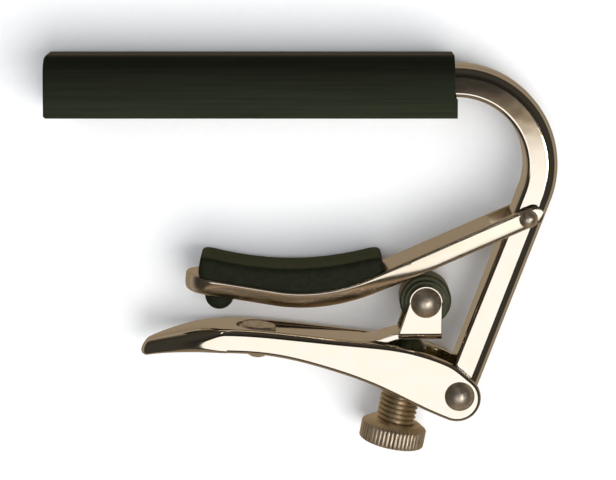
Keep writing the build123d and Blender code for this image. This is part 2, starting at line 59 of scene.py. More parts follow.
# ---- What counts as a sharp edge or a flat in a CAD mesh ----
SHARP = radians(40)             # faces that meet at more than this meet at an edge
COPLANAR = radians(0.01)        # triangles this close to one plane are one flat face
CAD_WELD = 2e-6                 # metres; a CAD mesh's vertices nearer than this are one
WELD = 1e-7                     # the same for the meshes made here
FLAT_AREA = 4e-6                # square metres; larger faces are flats, smaller ones curved strips
SIDE_NORMAL = 0.9998            # a face whose normal is this near to Z is part of a flat side
ROUND_SEGMENTS = 4              # faces across an eased edge


# ---- Mesh helpers ----
def placed(name, data):
    """A new object in the scene that holds a mesh, a light or a camera."""
    made = bpy.data.objects.new(name, data)
    bpy.context.scene.collection.objects.link(made)
    return made


def add_piece(name, mesh, cad_node, material):
    """A new piece that stands for one CAD node and moves with its body."""
    piece = placed(name, mesh)
    paint(piece, material)
    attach(piece, BODY_OF[cad_node])
    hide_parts(cad_node)
    return piece


def paint(piece, material):
    """Gives a piece one material."""
    piece.data.materials.clear()
    piece.data.materials.append(material)


def baked(piece):
    """Applies a piece's modifiers."""
    graph = bpy.context.evaluated_depsgraph_get()
    mesh = bpy.data.meshes.new_from_object(piece.evaluated_get(graph))
    piece.modifiers.clear()
    piece.data = mesh
    return piece


def eased(name, cad_node, rounding):
    """Copy of a CAD node's mesh whose sharp edges are rounded.

    rounding(edge middle, the two face normals) gives each sharp edge its radius.
    """
    mesh = bpy.data.meshes.new(name)
    shape = bmesh.new()
    shape.from_mesh(frame["nodes"][cad_node].data)
    bmesh.ops.remove_doubles(shape, verts=shape.verts, dist=CAD_WELD)
    bmesh.ops.dissolve_limit(shape, angle_limit=COPLANAR, verts=shape.verts, edges=shape.edges)
    weight = shape.edges.layers.float.new("bevel_weight_edge")
    widest = 0
    wanted = {}
    for edge in shape.edges:
        if len(edge.link_faces) == 2 and edge.calc_face_angle() > SHARP:
            middle = (edge.verts[0].co + edge.verts[1].co) / 2
            wanted[edge] = rounding(middle, [face.normal for face in edge.link_faces])
            widest = max(widest, wanted[edge])
    for edge, radius in wanted.items():
        edge[weight] = radius / widest
    shape.to_mesh(mesh)
    shape.free()
    mesh.shade_smooth()
    piece = placed(name, mesh)
    bevel = piece.modifiers.new("rounding", "BEVEL")
    bevel.limit_method = "WEIGHT"
    bevel.width = widest
    bevel.segments = ROUND_SEGMENTS
    bevel.use_clamp_overlap = False
    bevel.miter_outer = "MITER_ARC"
    mesh = baked(piece).data
    bpy.data.objects.remove(piece)
    return with_crisp_flats(mesh)


def is_flat(face):
    """Whether a face is part of a side of the capo, or of another large flat."""
    return abs(face.normal.z) > SIDE_NORMAL or face.calc_area() > FLAT_AREA


def with_crisp_flats(mesh):
    """Shades the mesh smooth, apart from its sharp edges and the rims of its flat faces."""
    shape = bmesh.new()
    shape.from_mesh(mesh)
    for face in shape.faces:
        face.smooth = True
    for edge in shape.edges:
        if len(edge.link_faces) == 2:
            one, other = edge.link_faces
            flat_rim = is_flat(one) != is_flat(other)
            edge.smooth = not (flat_rim or edge.calc_face_angle() > SHARP)
    shape.to_mesh(mesh)
    shape.free()
    return mesh


def weld(mesh):
    """Merges the mesh's points that meet, and turns its faces outwards."""
    shape = bmesh.new()
    shape.from_mesh(mesh)
    bmesh.ops.remove_doubles(shape, verts=shape.verts, dist=WELD)
    bmesh.ops.recalc_face_normals(shape, faces=shape.faces)
    shape.to_mesh(mesh)
    shape.free()


def ring_faces(rings, count):
    """Quads between neighbouring rings, each a closed loop of count points."""
    faces = []
    for start in range(0, (rings - 1) * count, count):
        for k in range(count):
            a, b = start + k, start + (k + 1) % count
            faces.append((a, b, b + count, a + count))
    return faces


def loft(name, rings, closed_ends=False):
    """Quads between rings of points; each ring is a closed loop with the same number of points.

    With closed_ends the first and last rings, near half then mirrored far half, are filled in.
    """
    count = len(rings[0])
    verts = [point for ring in rings for point in ring]
    faces = ring_faces(len(rings), count)
    if closed_ends:
        half = count // 2
        for start in (0, (len(rings) - 1) * count):
            for k in range(half - 1):
                a, b = start + k, start + k + 1
                faces.append((a, b, start + count - 2 - k, start + count - 1 - k))
    mesh = bpy.data.meshes.new(name)
    mesh.from_pydata(verts, [], faces)
    weld(mesh)
    mesh.shade_smooth()
    return mesh


def joined(name, *meshes):
    """One mesh that holds all the given ones."""
    shape = bmesh.new()
    for mesh in meshes:
        shape.from_mesh(mesh)
    result = bpy.data.meshes.new(name)
    shape.to_mesh(result)
    shape.free()
    return result


def mirrored(near):
    """The far half of a ring, from the end of its near half back to its start."""
    return [Vector((point.x, point.y, 2 * MID - point.z)) for point in reversed(near)]


def mixed(a, b, t):
    """What lies between a, at t = 0, and b, at t = 1."""
    return a + (b - a) * t


def eased_step(low, high, value):
    """0 up to low, 1 from high, and a smooth rise between."""
    t = min(1, max(0, (value - low) / (high - low)))
    return t * t * (3 - 2 * t)


def bezier(p0, p1, p2, p3, count):
    """Points along a cubic from p0 to p3, both included."""
    t = np.linspace(0, 1, count)[:, None]
    p0, p1, p2, p3 = (np.array(p, float) for p in (p0, p1, p2, p3))
    return (1 - t) ** 3 * p0 + 3 * (1 - t) ** 2 * t * p1 + 3 * (1 - t) * t ** 2 * p2 + t ** 3 * p3


# ---- Shader helpers ----
def new_material(name):
    """A material, its node tree and its shader."""
    material = bpy.data.materials.new(name)
    material.use_nodes = True
    tree = material.node_tree
    return material, tree, tree.nodes["Principled BSDF"]


def node(tree, kind, inputs=None, **settings):
    """A shader node; an input that is a socket is linked, and any other is set."""
    made = tree.nodes.new(kind)
    for key, value in settings.items():
        setattr(made, key, value)
    for key, value in (inputs or {}).items():
        if isinstance(value, bpy.types.NodeSocket):
            tree.links.new(value, made.inputs[key])
        else:
            made.inputs[key].default_value = value
    return made


def feed(tree, shader, socket, output):
    """Links an output to one of the shader's inputs."""
    tree.links.new(output, shader.inputs[socket])


def place_mm(tree, stretch=(1, 1, 1), centre=(0, 0, 0)):
    """Position on the piece in millimetres, in the row frame, stretched for streaks."""
    position = node(tree, "ShaderNodeTexCoord").outputs["Object"]
    mapping = node(tree, "ShaderNodeMapping", {"Vector": position}, vector_type="POINT")
    mapping.inputs["Scale"].default_value = [s / MM for s in stretch]
    mapping.inputs["Location"].default_value = [-c * s / MM for c, s in zip(centre, stretch)]
    return mapping.outputs["Vector"]


def noise(tree, place, scale, detail=2.0, roughness=0.5):
    """Noise from 0 to 1, with scale features or so to a millimetre."""
    made = node(tree, "ShaderNodeTexNoise", {"Vector": place, "Scale": scale, "Detail": detail})
    made.inputs["Roughness"].default_value = roughness
    return made.outputs["Fac"]


def ramp(tree, value, stops):
    """Colour by value; the stops are (value, colour) pairs."""
    made = node(tree, "ShaderNodeValToRGB", {"Fac": value})
    elements = made.color_ramp.elements
    while len(elements) < len(stops):
        elements.new(0.5)
    for element, (place, colour) in zip(elements, stops):
        element.position = place
        element.color = (*colour, 1)
    return made.outputs["Color"]


def spread(tree, value, low, high, to_low, to_high):
    """Maps low to to_low and high to to_high, and stays there beyond them."""
    made = node(tree, "ShaderNodeMapRange", {"Value": value})
    for key, number in zip(("From Min", "From Max", "To Min", "To Max"), (low, high, to_low, to_high)):
        made.inputs[key].default_value = number
    return made.outputs["Result"]


def bump(tree, shader, height, distance, strength=1.0, below=None):
    """Bumps the shader's surface, on top of an earlier bump if one is given."""
    made = node(tree, "ShaderNodeBump", {"Height": height, "Strength": strength, "Distance": distance})
    if below is not None:
        tree.links.new(below, made.inputs["Normal"])
    feed(tree, shader, "Normal", made.outputs["Normal"])
    return made.outputs["Normal"]


# ---- Materials ----
SCUFF_STRETCH = (0.6, 5.0, 1.5)         # the plate's scuffs run along X
CAST_ROUGHNESS = 0.34
SLOT_SHADE_FROM, SLOT_SHADE_FULL = 12.0, 13.0       # mm along X; to the right of these the slot is rough, and painted dark as shade
RUBBER_IOR = 1.12                       # matt rubber mirrors little
PLASTIC_IOR = 1.36


def plated_metal(name, colour, tint, roughness, scuff=0.0012, shaded_slot=False):
    """Bright plate: warm tone that drifts a little, faint scuffs, slightly wavy polish.

    scuff is the depth of the scuffs in mm; the waves in the polish are ten times as deep.
    With the last flag set, the casting between the sides of the lever's slot is rough and unpolished, and painted
    dark and mottled as shade.
    """
    material, tree, shader = new_material(name)
    shader.inputs["Metallic"].default_value = 1.0
    place = place_mm(tree)
    drift = noise(tree, place, 0.35, 3.0)
    feed(tree, shader, "Base Color", ramp(tree, drift, [(0.35, colour), (0.68, tint)]))
    scuffs = noise(tree, place_mm(tree, SCUFF_STRETCH), 2.2, 4.0, 0.65)
    feed(tree, shader, "Roughness", spread(tree, scuffs, 0.35, 0.75, roughness, roughness * 1.4))
    wavy = bump(tree, shader, noise(tree, place, 0.3, 1.0), scuff * MM * 10)
    bump(tree, shader, scuffs, scuff * MM, 0.6, wavy)
    if shaded_slot:
        paint_slot_shade(tree, shader)
    return material


def paint_slot_shade(tree, shader):
    """Paints shade, dark and mottled, over the plate between the slot's sides, from under the clevis on, and makes
    it rough there.
    """
    where = node(tree, "ShaderNodeSeparateXYZ", {"Vector": place_mm(tree, centre=(0, 0, MID))}).outputs
    aside = node(tree, "ShaderNodeMath", {0: where["Z"]}, operation="ABSOLUTE").outputs[0]
    side = SLOT_HALF_WIDTH / MM
    between_sides = spread(tree, aside, side + 0.02, side + 0.08, 1.0, 0.0)
    right = spread(tree, where["X"], SLOT_SHADE_FROM, SLOT_SHADE_FULL, 0.0, 1.0)
    mask = node(tree, "ShaderNodeMath", {0: between_sides, 1: right}, operation="MULTIPLY").outputs[0]
    pits = noise(tree, place_mm(tree), 2.4, 5.0, 0.7)
    # painted shade: the slot's colours, dark and mottled
    stops = [(0.35, (0.25, 0.23, 0.10)), (0.5, (0.55, 0.48, 0.28)), (0.62, (0.90, 0.82, 0.62))]
    slot_shade = ramp(tree, pits, stops)
    # a Mix node's input 0 is its factor, 2 and 3 are its numbers, 6 and 7 its colours
    plate = shader.inputs["Base Color"].links[0].from_socket
    colour = node(tree, "ShaderNodeMix", {0: mask, 6: plate, 7: slot_shade}, data_type="RGBA")
    feed(tree, shader, "Base Color", colour.outputs[2])
    polish = shader.inputs["Roughness"].links[0].from_socket
    rough = node(tree, "ShaderNodeMix", {0: mask, 2: polish, 3: CAST_ROUGHNESS}, data_type="FLOAT")
    feed(tree, shader, "Roughness", rough.outputs[0])


def satin_steel(name, colour, roughness):
    """Rivet steel: darker, satin, with fine pits."""
    material, tree, shader = new_material(name)
    shader.inputs["Metallic"].default_value = 1.0
    place = place_mm(tree)
    tone = noise(tree, place, 1.6, 5.0, 0.6)
    darker = [c * 0.72 for c in colour]
    feed(tree, shader, "Base Color", ramp(tree, tone, [(0.35, darker), (0.62, colour)]))
    feed(tree, shader, "Roughness", spread(tree, tone, 0.3, 0.7, roughness * 1.2, roughness * 0.85))
    bump(tree, shader, noise(tree, place, 7.0, 4.0, 0.7), 0.012 * MM)
    return material


def screw_metal():
    """The screw's plate, brassy on the crests and darker in the grooves: grime, and painted shade in the hollows.
    """
    material, tree, shader = new_material("screw_plate")
    shader.inputs["Metallic"].default_value = 1.0
    depth = node(tree, "ShaderNodeAttribute", attribute_name="groove").outputs["Fac"]
    tone = noise(tree, place_mm(tree), 1.8, 4.0, 0.6)
    uneven = spread(tree, tone, 0.3, 0.7, -0.18, 0.18)
    # the grooves are darker: grime, and painted shade where the hollows would be shaded
    grime_and_shade = node(tree, "ShaderNodeMath", {0: depth, 1: uneven}, operation="ADD").outputs[0]
    stops = [(0.0, (0.95, 0.83, 0.66)), (0.5, (0.82, 0.68, 0.50)), (0.95, (0.40, 0.33, 0.21))]
    feed(tree, shader, "Base Color", ramp(tree, grime_and_shade, stops))
    feed(tree, shader, "Roughness", spread(tree, grime_and_shade, 0.0, 1.0, 0.4, 0.55))
    bump(tree, shader, noise(tree, place_mm(tree), 6.0, 3.0), 0.01 * MM)
    return material


def rubber(name, colour, roughness, streaks, grain, shaded_heights=None, neck_face_tint=None):
    """Black rubber: a soft sheen, fine grain, and streaks along an extruded piece.

    Given heights in mm along Y, it goes from dark to lighter between them: painted shading, darker towards the top
    and lighter towards the bottom.
    Given a colour, it is added on the faces turned towards the neck, which is +Y.
    """
    material, tree, shader = new_material(name)
    lighter = [c * 1.7 for c in colour]
    streak = noise(tree, place_mm(tree, streaks), 1.3, 4.0, 0.6)
    tint = ramp(tree, streak, [(0.3, colour), (0.75, lighter)])
    # painted shading: darker at the top, towards +Y, and lighter lower down
    if shaded_heights:
        height = node(tree, "ShaderNodeSeparateXYZ", {"Vector": place_mm(tree)}).outputs["Y"]
        greyed = {"Vector": tint, "Scale": spread(tree, height, shaded_heights[0], shaded_heights[1], 0.5, 1.5)}
        tint = node(tree, "ShaderNodeVectorMath", greyed, operation="SCALE").outputs["Vector"]
    if neck_face_tint:
        normal = node(tree, "ShaderNodeTexCoord").outputs["Normal"]
        towards_neck = node(tree, "ShaderNodeSeparateXYZ", {"Vector": normal}).outputs["Y"]
        extra = ramp(tree, towards_neck, [(0.86, (0, 0, 0)), (0.98, neck_face_tint)])
        tint = node(tree, "ShaderNodeVectorMath", {0: tint, 1: extra}, operation="ADD").outputs["Vector"]
    feed(tree, shader, "Base Color", tint)
    feed(tree, shader, "Roughness", spread(tree, streak, 0.3, 0.7, roughness * 0.9, roughness * 1.15))
    shader.inputs["IOR"].default_value = RUBBER_IOR
    first = bump(tree, shader, streak, 0.03 * MM, 0.5)
    bump(tree, shader, noise(tree, place_mm(tree), grain, 3.0, 0.6), 0.012 * MM, 1.0, first)
    return material


def turned_plastic(name, roughness):
    """Black acetal with turning marks round the roller's axis."""
    material, tree, shader = new_material(name)
    shader.inputs["Roughness"].default_value = roughness
    shader.inputs["IOR"].default_value = PLASTIC_IOR
    place = place_mm(tree, centre=ROLLER_AXIS)
    tone = noise(tree, place, 1.2, 4.0, 0.6)
    black, greyed = (0.015, 0.016, 0.007), (0.034, 0.035, 0.014)
    feed(tree, shader, "Base Color", ramp(tree, tone, [(0.3, black), (0.7, greyed)]))
    waves = {"Vector": place, "Scale": 1.1, "Distortion": 0.4}
    rings = node(tree, "ShaderNodeTexWave", waves, wave_type="RINGS", rings_direction="Z")
    bump(tree, shader, rings.outputs["Fac"], 0.015 * MM, 0.8)
    return material


NICKEL = plated_metal("warm_nickel", (0.80, 0.74, 0.65), (0.82, 0.73, 0.60), 0.08)
LEVER_NICKEL = plated_metal("lever_nickel", (0.80, 0.74, 0.65), (0.82, 0.73, 0.60), 0.08, shaded_slot=True)
ARM_NICKEL = plated_metal("arm_nickel", (0.78, 0.71, 0.61), (0.80, 0.70, 0.55), 0.19, 0.0006)
BAR_NICKEL = plated_metal("bar_nickel", (0.80, 0.74, 0.65), (0.81, 0.72, 0.60), 0.06, 0.0008)
RIVET = satin_steel("rivet_steel", (0.92, 0.82, 0.69), 0.42)
SCREW = screw_metal()
SLEEVE_RUBBER = rubber(
    "sleeve_rubber", (0.0112, 0.0130, 0.0076), 0.36, (0.04, 3.0, 3.0), 5.0, shaded_heights=(29.0, 21.5)
)
PAD_RUBBER = rubber(
    "pad_rubber", (0.0094, 0.0106, 0.0064), 0.5, (1.0, 1.0, 1.0), 6.0, neck_face_tint=(0.024, 0.032, 0.007)
)
PLASTIC = turned_plastic("turned_plastic", 0.36)
POLISHED = turned_plastic("polished_plastic", 0.16)


# ---- Lever: the CAD body with its edges eased, joined to a lofted finger tab ----
LEVER_TOP_ROUND = 0.9 * MM
LEVER_UNDER_ROUND = 0.5 * MM
SLOT_EDGE_ROUND = 0.14 * MM
SLOT_MARGIN = 0.3 * MM          # edges this near to the slot's sides are the slot's
RIVET_HOLE = 2.6 * MM           # edges nearer than this to a rivet's axis are its hole's
SQUARE_FROM, SQUARE_TO = -5 * MM, 20 * MM   # between these the top's round shrinks to the underside's
TAB_TIP_X = -24.6 * MM
TAB_NOSE = 1.1 * MM             # length of the rounded tip
TAB_FULL_X = -16.0 * MM         # left of this the tab is fully crowned
TAB_JOIN_X = -11.4 * MM         # here it meets the body, square as the body is
TAB_ROOT_X = -11.2 * MM         # left of this the lever is all tab, with no slot
TAB_RISE = 0.35 * MM            # how far the tab is fuller than the CAD tab
TAB_DROP, TAB_CORNER, TAB_UNDER = 0.06, 0.58, 0.26      # of the tab's thickness
TAB_SHOULDER = 2.3 * MM         # how far the crowned corner reaches in from the side
CAD_TIP = 0.15 * MM             # the CAD tab is too thin to measure nearer than this to its tip


def lever_rounding(middle, normals):
    """Rounder along the top than underneath, sharp in the slot and at the rivet's hole."""
    if hypot(middle.x - LEVER_PIVOT.x, middle.y - LEVER_PIVOT.y) < RIVET_HOLE:
        return 0
    if abs(middle.z - MID) < SLOT_HALF_WIDTH + SLOT_MARGIN and middle.x > TAB_ROOT_X:
        return SLOT_EDGE_ROUND
    top = mixed(LEVER_TOP_ROUND, LEVER_UNDER_ROUND, eased_step(SQUARE_FROM, SQUARE_TO, middle.x))
    return mixed(LEVER_UNDER_ROUND, top, eased_step(-0.2, 0.5, max(n.y for n in normals)))


def tab_half_section(middle, top, under, half_width, crown):
    """Half of the tab's outline across X, from the middle of its top round to the middle below.

    crown goes from 0, square with eased corners like the body, to 1, full and rounded.
    """
    height = top - under
    drop = TAB_DROP * height * crown
    corner_y = mixed(LEVER_TOP_ROUND, TAB_CORNER * height, crown)
    corner_z = min(mixed(LEVER_TOP_ROUND, TAB_SHOULDER, crown), 0.6 * half_width)
    under_y = mixed(LEVER_UNDER_ROUND, TAB_UNDER * height, crown)
    under_z = min(under_y, 0.4 * half_width)
    flat = half_width - corner_z
    points = [(flat * t, top - drop * (flat * t / half_width) ** 2) for t in np.linspace(0, 1, 8)]
    start = points[-1][1]
    for a in np.linspace(0, pi / 2, 8)[1:]:
        fall = corner_y * (1 - cos(a)) + 0.25 * drop * sin(a) ** 2
        points.append((flat + corner_z * sin(a), start - fall))
    points += [(half_width, mixed(points[-1][1], under + under_y, 0.5))]
    for a in np.linspace(0, pi / 2, 7):
        points.append((half_width - under_z * (1 - cos(a)), under + under_y * (1 - sin(a))))
    points += [((half_width - under_z) * t, under) for t in (0.66, 0.33, 0.0)]
    return [Vector((middle, y, MID + z)) for z, y in points]


def tab_outline(solid, x):
    """The CAD tab's top, underside and half width at x, found by rays through the lever."""
    across = max(x, TAB_TIP_X + CAD_TIP)
    beside = MID + 0.1 * MM
    top = solid.ray_cast(Vector((across, 1, beside)), Vector((0, -1, 0)))[0].y
    under = solid.ray_cast(Vector((across, -1, beside)), Vector((0, 1, 0)))[0].y
    level = Vector((max(x, TAB_TIP_X + CAD_TIP / 3), (top + under) / 2, 1))
    side = solid.ray_cast(level, Vector((0, 0, -1)))[0]
    return top, under, side.z - MID


def tab_mesh():
    """The finger tab from its rounded tip to the lever's body, over the CAD tab's outlines."""
    shape = bmesh.new()
    shape.from_mesh(frame["nodes"]["lever"].data)
    solid = BVHTree.FromBMesh(shape)
    stations = [TAB_TIP_X + TAB_NOSE * (1 - cos(a)) for a in np.linspace(0.12, pi / 2, 9)]
    stations += list(np.linspace(TAB_TIP_X + TAB_NOSE, TAB_JOIN_X, 26)[1:])
    rings = []
    for x in stations:
        cad_top, cad_under, half_width = tab_outline(solid, x)
        middle_y, half_height = (cad_top + cad_under) / 2, (cad_top - cad_under) / 2
        short = max(0, TAB_TIP_X + TAB_NOSE - x) / TAB_NOSE
        half_height *= max(0.1, (1 - short ** 2) ** 0.5)
        crown = 1 - eased_step(TAB_FULL_X, TAB_JOIN_X, x)
        top = middle_y + half_height + TAB_RISE * crown * (1 - short)
        near = tab_half_section(x, top, middle_y - half_height, half_width, crown)
        rings.append(near + mirrored(near))
    shape.free()
    mesh = loft("finger_tab", rings, closed_ends=True)
    mesh.set_sharp_from_angle(angle=radians(60))
    return mesh


def lever_mesh():
    """The body with its slot and holes from the CAD lever, joined to the lofted tab."""
    mesh = eased("lever_body", "lever", lever_rounding)
    shape = bmesh.new()
    shape.from_mesh(mesh)
    parts = shape.verts[:] + shape.edges[:] + shape.faces[:]
    join = Vector((TAB_JOIN_X, 0, 0))
    right = Vector((1, 0, 0))
    bmesh.ops.bisect_plane(
        shape, geom=parts, dist=WELD, plane_co=join, plane_no=right, clear_inner=True
    )
    shape.to_mesh(mesh)
    shape.free()
    return joined("lever_casting", mesh, tab_mesh())


add_piece("lever_casting", lever_mesh(), "lever", LEVER_NICKEL)


# ---- Spring leaf and the pieces whose CAD shape is right ----
LEAF_ROUND = 0.12 * MM


def leaf_rounding(middle, normals):
    """The same thin round on every edge but those of the axle's holes."""
    at_hole = hypot(middle.x - ROLLER_AXIS.x, middle.y - ROLLER_AXIS.y) < RIVET_HOLE
    return 0 if at_hole else LEAF_ROUND


leaf = eased("spring_leaf", "roller_strap", leaf_rounding)
add_piece("spring_leaf", leaf, "roller_strap", NICKEL)

kept = {
    "bar_sleeve": SLEEVE_RUBBER,
    "arm_pivot_rivet": RIVET,
    "lever_pivot_rivet": RIVET,
    "strap_rivet": RIVET,
    "roller": PLASTIC,
    "roller_washers": PLASTIC,
    "roller_axle": RIVET,
    "screw_tip": POLISHED,
}
for name, material in kept.items():
    paint(frame["nodes"][name], material)


# ---- Swing arm: a strap whose edges roll under beneath the pad, forked at its pivot ----
ARM_TIP = Vector((-17.8 * MM, -3.65 * MM, MID))
ARM_CORNER = Vector((3.3 * MM, -7.2 * MM, MID))     # where its two straight runs would meet
ARM_BEND = 26.0 * MM            # radius of the bend there
ARM_HALF = 1.4 * MM             # half of its thickness
ARM_HALF_WIDTH = 4.8 * MM
ARM_OVERHANG = 2.4 * MM         # past the pivot
ARM_TOP_ROUND = 0.4 * MM
EAR_ROUND = 1.4 * MM
ROLL_FROM, ROLL_FULL = -2 * MM, 7 * MM      # along the arm, where its edges come to roll under
UNROLL_FROM, UNROLL_END = 24 * MM, 39 * MM  # and where they square up again
FORK_TOP_DEPTH = 4.6 * MM
FORK_UNDER_DEPTH = 7.8 * MM
arm_in = (ARM_CORNER - ARM_TIP).normalized()
arm_out = (ARM_PIVOT - ARM_CORNER).normalized()
arm_up = Vector((-arm_out.y, arm_out.x, 0))
arm_turn = arm_in.angle(arm_out)
arm_setback = ARM_BEND * tan(arm_turn / 2)
arm_first = (ARM_CORNER - ARM_TIP).length - arm_setback
arm_second = (ARM_PIVOT - ARM_CORNER).length - arm_setback
ARM_LENGTH = arm_first + ARM_BEND * arm_turn + arm_second + ARM_OVERHANG


def arm_frame(along):
    """Point of the arm's centreline at an arc length from the tip, and the direction out of its top."""
    if along < arm_first:
        run, place = arm_in, ARM_TIP + arm_in * along
    elif along < arm_first + ARM_BEND * arm_turn:
        angle = (along - arm_first) / ARM_BEND
        bend_start = ARM_TIP + arm_in * arm_first
        up = Vector((-arm_in.y, arm_in.x, 0))
        place = bend_start + arm_in * ARM_BEND * sin(angle) + up * ARM_BEND * (1 - cos(angle))
        run = arm_in * cos(angle) + up * sin(angle)
    else:
        run = arm_out
        place = ARM_CORNER + arm_out * (arm_setback + along - arm_first - ARM_BEND * arm_turn)
    return place, Vector((-run.y, run.x, 0))


def arm_edge(along):
    """Inset from the arm's outline and height above its middle, from its top round to its underside."""
    rolled = eased_step(ROLL_FROM, ROLL_FULL, along) * (1 - eased_step(UNROLL_FROM, UNROLL_END, along))
    top = [
        (ARM_TOP_ROUND * (1 - sin(a)), ARM_HALF - ARM_TOP_ROUND * (1 - cos(a)))
        for a in np.linspace(0, pi / 2, 5)[:-1]
    ]
    side = bezier(
        (0, 1.0 * MM),
        (0, mixed(-0.6, 0.78, rolled) * MM),
        (mixed(0.04, 1.15, rolled) * MM, mixed(-1.35, -0.7, rolled) * MM),
        (mixed(0.55, 2.1, rolled) * MM, -ARM_HALF),
        10,
    )
    return top + [tuple(point) for point in side]


def arm_mesh():
    """The whole strap, before its fork is cut: rings along it, one for each level of its edge."""
    nose = np.linspace(pi, pi / 2, 15)[:-1]
    stations = [ARM_HALF_WIDTH * (1 + cos(a)) for a in nose]
    stations += list(np.linspace(ARM_HALF_WIDTH, ARM_LENGTH - EAR_ROUND, 60))
    stations += [ARM_LENGTH - EAR_ROUND + EAR_ROUND * sin(a) for a in np.linspace(0, pi / 2, 8)[1:]]
    rings = []
    for level in range(len(arm_edge(0))):
        half = []
        for along in stations:
            inset, height = arm_edge(along)[level]
            reach = min(along, ARM_HALF_WIDTH)
            out_x = (reach - ARM_HALF_WIDTH) / ARM_HALF_WIDTH
            out_z = (1 - out_x ** 2) ** 0.5
            past = max(0, along - (ARM_LENGTH - EAR_ROUND)) / EAR_ROUND
            height *= max(0.12, (1 - past ** 2) ** 0.5)
            place, up = arm_frame(along - out_x * inset)
            half.append((place + up * height, out_z * (ARM_HALF_WIDTH - inset)))
        near = [point + Vector((0, 0, z)) for point, z in half]
        far = [point - Vector((0, 0, z)) for point, z in half]
        rings.append(list(reversed(near)) + far)
    return loft("swing_arm_strap", rings, closed_ends=True)


def cut(piece, cutter):
    """Takes cutter away from piece, and removes it."""
    boolean = piece.modifiers.new("cut", "BOOLEAN")
    boolean.object = cutter
    boolean.operation = "DIFFERENCE"
    boolean.solver = "EXACT"
    baked(piece)
    bpy.data.objects.remove(cutter)


def prism(name, corners, half_width):
    """Straight-sided block over an outline in the XY plane, centred on the plane of symmetry."""
    low = [Vector((c.x, c.y, MID - half_width)) for c in corners]
    high = [Vector((c.x, c.y, MID + half_width)) for c in corners]
    count = len(corners)
    faces = [tuple(range(count)), tuple(range(2 * count - 1, count - 1, -1))]
    faces += [(k, (k + 1) % count, count + (k + 1) % count, count + k) for k in range(count)]
    mesh = bpy.data.meshes.new(name)
    mesh.from_pydata(low + high, [], faces)
    weld(mesh)
    return placed(name, mesh)


arm_piece = placed("swing_arm_strap", arm_mesh())
fork_corners = [
    ARM_PIVOT - arm_out * FORK_UNDER_DEPTH - arm_up * 2 * ARM_HALF,
    ARM_PIVOT + arm_out * 4 * ARM_HALF - arm_up * 2 * ARM_HALF,
    ARM_PIVOT + arm_out * 4 * ARM_HALF + arm_up * 2 * ARM_HALF,
    ARM_PIVOT - arm_out * FORK_TOP_DEPTH + arm_up * 2 * ARM_HALF,
]
cut(arm_piece, prism("fork", fork_corners, SLOT_HALF_WIDTH))
arm_shell = with_crisp_flats(arm_piece.data)
bpy.data.objects.remove(arm_piece)
add_piece("swing_arm_strap", arm_shell, "swing_arm", ARM_NICKEL)


# ---- Bar: rounded flat stock swept along its straight, its bend and its strut ----
BAR_TIP = Vector((-37.3 * MM, 26.55 * MM, MID))
BEND_CENTRE = Vector((22.8 * MM, 13.75 * MM, MID))
BEND_RADIUS = 12.8 * MM
BAR_HALF, BAR_HALF_WIDTH = 2.4 * MM, 3.35 * MM
BAR_OUTER_ROUND, BAR_INNER_ROUND = 1.8 * MM, 0.7 * MM
ARM_HOLE, LEVER_HOLE = 1.0 * MM, 1.55 * MM      # radii of the rivet holes through it
BAR_NOSE = 0.02                 # share of the section left at the very end
HOLE_CORNERS = 40
to_pivot = LEVER_PIVOT - BEND_CENTRE
tangent = acos(BEND_RADIUS / to_pivot.length)
STRUT_ANGLE = atan2(to_pivot.x, to_pivot.y) - tangent   # where the bend runs on into the strut
STRUT_START = BEND_CENTRE + BEND_RADIUS * Vector((sin(STRUT_ANGLE), cos(STRUT_ANGLE), 0))


def bar_stations():
    """Points of the bar's centreline, each with the way out of the bend, and the strut's run."""
    up = Vector((0, 1, 0))
    places = [(Vector((x, BAR_TIP.y, MID)), up) for x in np.linspace(BAR_TIP.x, BEND_CENTRE.x, 8)[:-1]]
    for angle in np.linspace(0, STRUT_ANGLE, 48):
        out = Vector((sin(angle), cos(angle), 0))
        places.append((BEND_CENTRE + BEND_RADIUS * out, out))
    run = LEVER_PIVOT - STRUT_START
    places += [(STRUT_START + run * t, out) for t in np.linspace(0, 1, 8)[1:]]
    return places, run.normalized()


def bar_half_section():
    """Half of the bar's outline: (outward, across) pairs from its outer face to its inner face."""
    outer, inner = BAR_OUTER_ROUND, BAR_INNER_ROUND
    points = [(BAR_HALF, 0), (BAR_HALF, 0.6 * (BAR_HALF_WIDTH - outer))]
    for a in np.linspace(0, pi / 2, 12):
        points.append((BAR_HALF - outer * (1 - cos(a)), BAR_HALF_WIDTH - outer * (1 - sin(a))))
    for a in np.linspace(0, pi / 2, 8):
        points.append((-BAR_HALF + inner * (1 - sin(a)), BAR_HALF_WIDTH - inner * (1 - cos(a))))
    return points + [(-BAR_HALF, 0.8 * (BAR_HALF_WIDTH - inner)), (-BAR_HALF, 0)]


def bar_mesh():
    """The bar with a rounded end past the lever's pivot, and its two rivet holes."""
    places, run = bar_stations()
    section = bar_half_section()
    rings = []
    for place, out in places:
        near = [place + out * h + Vector((0, 0, z)) for h, z in section]
        rings.append(near + mirrored(near))
    for a in np.linspace(0, pi / 2, 10)[1:]:
        end = LEVER_PIVOT + run * BAR_HALF * sin(a)
        near = [end + out * h * max(BAR_NOSE, cos(a)) + Vector((0, 0, z)) for h, z in section]
        rings.append(near + mirrored(near))
    bar = placed("bent_bar", loft("bent_bar", rings, closed_ends=True))
    for centre, radius in ((ARM_PIVOT, ARM_HOLE), (LEVER_PIVOT, LEVER_HOLE)):
        turns = [2 * pi * k / HOLE_CORNERS for k in range(HOLE_CORNERS)]
        rim = [centre + Vector((radius * cos(a), radius * sin(a), 0)) for a in turns]
        cut(bar, prism("hole", rim, 2 * BAR_HALF_WIDTH))
    mesh = bar.data
    bpy.data.objects.remove(bar)
    return with_crisp_flats(mesh)


add_piece("bent_bar", bar_mesh(), "frame_bar", BAR_NICKEL)


